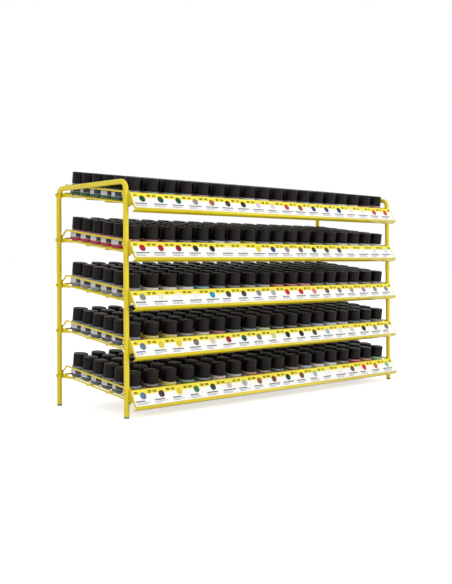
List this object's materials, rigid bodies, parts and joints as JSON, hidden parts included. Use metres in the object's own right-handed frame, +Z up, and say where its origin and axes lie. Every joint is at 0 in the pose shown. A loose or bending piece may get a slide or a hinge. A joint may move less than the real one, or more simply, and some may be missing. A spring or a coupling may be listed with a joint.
{
  "type": "countertop paint rack",
  "caption": "Free-standing wire paint rack with sloping shelves, label channels and screw-cap jars in lanes.",
  "frame": {"origin": "bottom centre of the whole rack with its jars, on the surface that it stands on", "axes": "+X along the shelves to the right as seen from the front, +Y to the back, +Z up"},
  "size_m": [0.6686, 0.2114, 0.3893],
  "materials": {
    "yellow_coat": "gloss powder coat",
    "plug_plastic": "matt",
    "fastener_steel": "zinc plated",
    "label_card": "satin print film",
    "jar_glass": "clear, filled with paint",
    "cap_plastic": "satin moulded",
    "liner_foam": "matt foam"
  },
  "bodies": {
    "rack": {"left_side_frame": "yellow_coat", "right_side_frame": "yellow_coat", "post_end_plugs": "plug_plastic", "shelf_bolts": "fastener_steel", "shelf_nuts": "fastener_steel", "shelf_1_wire_tray": "yellow_coat", "shelf_1_lane_dividers": "yellow_coat", "shelf_1_guard_wires": "yellow_coat", "shelf_1_brackets": "yellow_coat", "shelf_1_label_channel": "yellow_coat", "shelf_1_stock_jars": "jar_glass", "shelf_1_stock_caps": "cap_plastic", "shelf_2_wire_tray": "yellow_coat", "shelf_2_lane_dividers": "yellow_coat", "shelf_2_guard_wires": "yellow_coat", "shelf_2_brackets": "yellow_coat", "shelf_2_label_channel": "yellow_coat", "shelf_2_stock_jars": "jar_glass", "shelf_2_stock_caps": "cap_plastic", "shelf_3_wire_tray": "yellow_coat", "shelf_3_lane_dividers": "yellow_coat", "shelf_3_guard_wires": "yellow_coat", "shelf_3_brackets": "yellow_coat", "shelf_3_label_channel": "yellow_coat", "shelf_3_stock_jars": "jar_glass", "shelf_3_stock_caps": "cap_plastic", "shelf_4_wire_tray": "yellow_coat", "shelf_4_lane_dividers": "yellow_coat", "shelf_4_guard_wires": "yellow_coat", "shelf_4_brackets": "yellow_coat", "shelf_4_label_channel": "yellow_coat", "shelf_4_stock_jars": "jar_glass", "shelf_4_stock_caps": "cap_plastic", "shelf_5_wire_tray": "yellow_coat", "shelf_5_lane_dividers": "yellow_coat", "shelf_5_guard_wires": "yellow_coat", "shelf_5_brackets": "yellow_coat", "shelf_5_label_channel": "yellow_coat", "shelf_5_stock_jars": "jar_glass", "shelf_5_stock_caps": "cap_plastic"},
    "shelf_1_card": {"shelf_1_label_card": "label_card"},
    "shelf_1_jar": {"shelf_1_front_jar": "jar_glass"},
    "shelf_1_liner": {"shelf_1_front_liner": "liner_foam"},
    "shelf_1_cap": {"shelf_1_front_cap": "cap_plastic"},
    "shelf_2_card": {"shelf_2_label_card": "label_card"},
    "shelf_2_jar": {"shelf_2_front_jar": "jar_glass"},
    "shelf_2_liner": {"shelf_2_front_liner": "liner_foam"},
    "shelf_2_cap": {"shelf_2_front_cap": "cap_plastic"},
    "shelf_3_card": {"shelf_3_label_card": "label_card"},
    "shelf_3_jar": {"shelf_3_front_jar": "jar_glass"},
    "shelf_3_liner": {"shelf_3_front_liner": "liner_foam"},
    "shelf_3_cap": {"shelf_3_front_cap": "cap_plastic"},
    "shelf_4_card": {"shelf_4_label_card": "label_card"},
    "shelf_4_jar": {"shelf_4_front_jar": "jar_glass"},
    "shelf_4_liner": {"shelf_4_front_liner": "liner_foam"},
    "shelf_4_cap": {"shelf_4_front_cap": "cap_plastic"},
    "shelf_5_card": {"shelf_5_label_card": "label_card"},
    "shelf_5_jar": {"shelf_5_front_jar": "jar_glass"},
    "shelf_5_liner": {"shelf_5_front_liner": "liner_foam"},
    "shelf_5_cap": {"shelf_5_front_cap": "cap_plastic"}
  },
  "joints": [
    {"name": "shelf_1_card_slide", "type": "slide", "parent": "rack", "child": "shelf_1_card", "axis": [1, 0, 0], "range_m": [0, 0.652]},
    {"name": "shelf_1_jar_lift", "type": "slide", "parent": "rack", "child": "shelf_1_jar", "axis": [0, -0.1344, 0.9909], "range_m": [0, 0.045]},
    {"name": "shelf_1_cap_rise", "type": "slide", "parent": "shelf_1_jar", "child": "shelf_1_liner", "axis": [0, -0.1344, 0.9909], "range_m": [0, 0.00376]},
    {"name": "shelf_1_cap_turn", "type": "hinge", "parent": "shelf_1_liner", "child": "shelf_1_cap", "pos_m": [-0.234, -0.06615, 0.33066], "axis": [0, -0.1344, 0.9909], "range_deg": [0, 450]},
    {"name": "shelf_2_card_slide", "type": "slide", "parent": "rack", "child": "shelf_2_card", "axis": [1, 0, 0], "range_m": [0, 0.652]},
    {"name": "shelf_2_jar_lift", "type": "slide", "parent": "rack", "child": "shelf_2_jar", "axis": [0, -0.1344, 0.9909], "range_m": [0, 0.026]},
    {"name": "shelf_2_cap_rise", "type": "slide", "parent": "shelf_2_jar", "child": "shelf_2_liner", "axis": [0, -0.1344, 0.9909], "range_m": [0, 0.00376]},
    {"name": "shelf_2_cap_turn", "type": "hinge", "parent": "shelf_2_liner", "child": "shelf_2_cap", "pos_m": [-0.126, -0.06615, 0.25556], "axis": [0, -0.1344, 0.9909], "range_deg": [0, 450]},
    {"name": "shelf_3_card_slide", "type": "slide", "parent": "rack", "child": "shelf_3_card", "axis": [1, 0, 0], "range_m": [0, 0.652]},
    {"name": "shelf_3_jar_lift", "type": "slide", "parent": "rack", "child": "shelf_3_jar", "axis": [0, -0.1344, 0.9909], "range_m": [0, 0.026]},
    {"name": "shelf_3_cap_rise", "type": "slide", "parent": "shelf_3_jar", "child": "shelf_3_liner", "axis": [0, -0.1344, 0.9909], "range_m": [0, 0.00376]},
    {"name": "shelf_3_cap_turn", "type": "hinge", "parent": "shelf_3_liner", "child": "shelf_3_cap", "pos_m": [-0.018, -0.06615, 0.18046], "axis": [0, -0.1344, 0.9909], "range_deg": [0, 450]},
    {"name": "shelf_4_card_slide", "type": "slide", "parent": "rack", "child": "shelf_4_card", "axis": [1, 0, 0], "range_m": [0, 0.652]},
    {"name": "shelf_4_jar_lift", "type": "slide", "parent": "rack", "child": "shelf_4_jar", "axis": [0, -0.1344, 0.9909], "range_m": [0, 0.026]},
    {"name": "shelf_4_cap_rise", "type": "slide", "parent": "shelf_4_jar", "child": "shelf_4_liner", "axis": [0, -0.1344, 0.9909], "range_m": [0, 0.00376]},
    {"name": "shelf_4_cap_turn", "type": "hinge", "parent": "shelf_4_liner", "child": "shelf_4_cap", "pos_m": [0.09, -0.06615, 0.10537], "axis": [0, -0.1344, 0.9909], "range_deg": [0, 450]},
    {"name": "shelf_5_card_slide", "type": "slide", "parent": "rack", "child": "shelf_5_card", "axis": [1, 0, 0], "range_m": [0, 0.652]},
    {"name": "shelf_5_jar_lift", "type": "slide", "parent": "rack", "child": "shelf_5_jar", "axis": [0, -0.1344, 0.9909], "range_m": [0, 0.026]},
    {"name": "shelf_5_cap_rise", "type": "slide", "parent": "shelf_5_jar", "child": "shelf_5_liner", "axis": [0, -0.1344, 0.9909], "range_m": [0, 0.00376]},
    {"name": "shelf_5_cap_turn", "type": "hinge", "parent": "shelf_5_liner", "child": "shelf_5_cap", "pos_m": [0.198, -0.06615, 0.03027], "axis": [0, -0.1344, 0.9909], "range_deg": [0, 450]}
  ],
  "couplings": [
    {"joint": "shelf_1_cap_rise", "follows": "shelf_1_cap_turn", "m_per_rad": 0.00047746},
    {"joint": "shelf_2_cap_rise", "follows": "shelf_2_cap_turn", "m_per_rad": 0.00047746},
    {"joint": "shelf_3_cap_rise", "follows": "shelf_3_cap_turn", "m_per_rad": 0.00047746},
    {"joint": "shelf_4_cap_rise", "follows": "shelf_4_cap_turn", "m_per_rad": 0.00047746},
    {"joint": "shelf_5_cap_rise", "follows": "shelf_5_cap_turn", "m_per_rad": 0.00047746}
  ]
}
